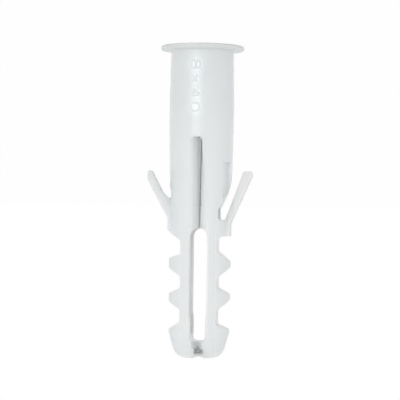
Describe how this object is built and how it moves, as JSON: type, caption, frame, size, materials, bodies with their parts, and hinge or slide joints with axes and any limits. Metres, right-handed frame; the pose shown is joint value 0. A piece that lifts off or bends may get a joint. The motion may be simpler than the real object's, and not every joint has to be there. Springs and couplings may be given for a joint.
{
  "type": "wall plug",
  "caption": "Moulded plastic wall plug: a round collar, a bored barrel, springy side wings and toothed split legs that a driven screw spreads apart in the drilled hole.",
  "frame": {"origin": "centre of the collar's outer face, where the screw goes in", "axes": "+Z along the plug's axis from the collar to the tip, X through the wings and teeth, -Y toward the front groove and the gap between the legs"},
  "size_m": [0.0133, 0.0106, 0.04],
  "materials": {
    "white_plastic": "satin, slightly translucent moulded polyethylene or nylon"
  },
  "bodies": {
    "root": {"wall_plug": "white_plastic"}
  },
  "joints": []
}
